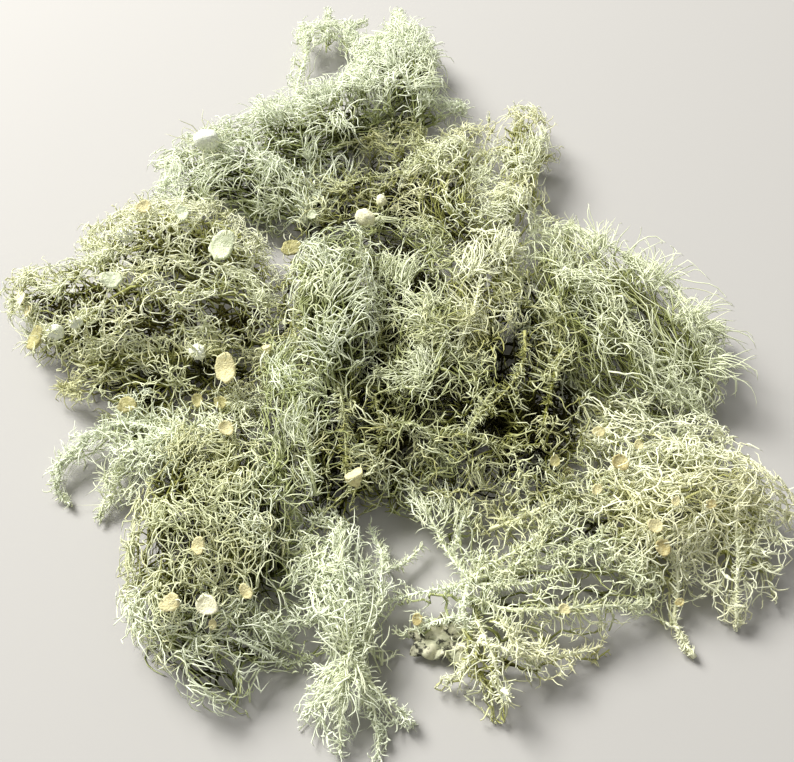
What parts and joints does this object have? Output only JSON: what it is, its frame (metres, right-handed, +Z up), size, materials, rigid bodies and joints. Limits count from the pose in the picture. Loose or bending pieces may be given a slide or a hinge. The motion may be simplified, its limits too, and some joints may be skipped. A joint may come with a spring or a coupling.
{
  "type": "dried beard lichen tangle",
  "caption": "Loose tangle of dried beard lichen tufts with fruiting discs, lying flat as a natural specimen or craft filling.",
  "frame": {"origin": "centre of the tangle's outline, on the surface that it lies on", "axes": "+Z up, +Y from the near side in the picture to the far side, along the tangle's length, +X to the right in the picture"},
  "size_m": [0.2258, 0.291, 0.0359],
  "materials": {
    "mint_white_lichen": "dry, matt, pale mint to white branchlets",
    "yellow_green_lichen": "dry, matt, yellow-green branchlets",
    "olive_lichen": "dry, matt, olive branchlets, darker inside",
    "sage_lichen": "dry, matt, sage-green branchlets",
    "cream_lichen": "dry, matt, cream to pale yellow branchlets",
    "grey_green_lichen": "dry, matt, grey-green leafy scrap with dark flecks"
  },
  "bodies": {
    "root": {"curly_bundle": "mint_white_lichen", "pale_sprig": "mint_white_lichen", "bottom_tuft_stem": "mint_white_lichen", "bottom_tuft_left_fork": "mint_white_lichen", "bottom_tuft_right_fork": "mint_white_lichen", "bottom_right_top_fork": "mint_white_lichen", "bottom_right_left_forks": "mint_white_lichen", "bottom_right_far_fork": "sage_lichen", "bottom_right_middle_fork": "sage_lichen", "bottom_right_front_fork": "cream_lichen", "right_low_back_fork": "cream_lichen", "right_low_body": "cream_lichen", "right_low_front_fork": "cream_lichen", "right_low_left_fork": "cream_lichen", "lower_left_tails": "mint_white_lichen", "lower_left_top_fork": "yellow_green_lichen", "lower_left_right_fork": "mint_white_lichen", "lower_left_front_fork": "mint_white_lichen", "lower_left_body": "olive_lichen", "left_tuft_arm": "yellow_green_lichen", "left_tuft_back_fork": "cream_lichen", "left_tuft_front_fork": "olive_lichen", "left_tuft_body": "yellow_green_lichen", "back_tuft_loop": "mint_white_lichen", "back_tuft_right_fork": "mint_white_lichen", "back_tuft_body": "mint_white_lichen", "back_right_outer_fork": "yellow_green_lichen", "back_right_inner_fork": "yellow_green_lichen", "back_right_dark_fork": "olive_lichen", "centre_pale_fork": "cream_lichen", "centre_left_fork": "olive_lichen", "centre_middle_fork": "sage_lichen", "centre_right_fork": "olive_lichen", "right_mass_upper_fork": "sage_lichen", "right_mass_lower_fork": "sage_lichen", "ruffled_scrap": "grey_green_lichen"}
  },
  "joints": []
}
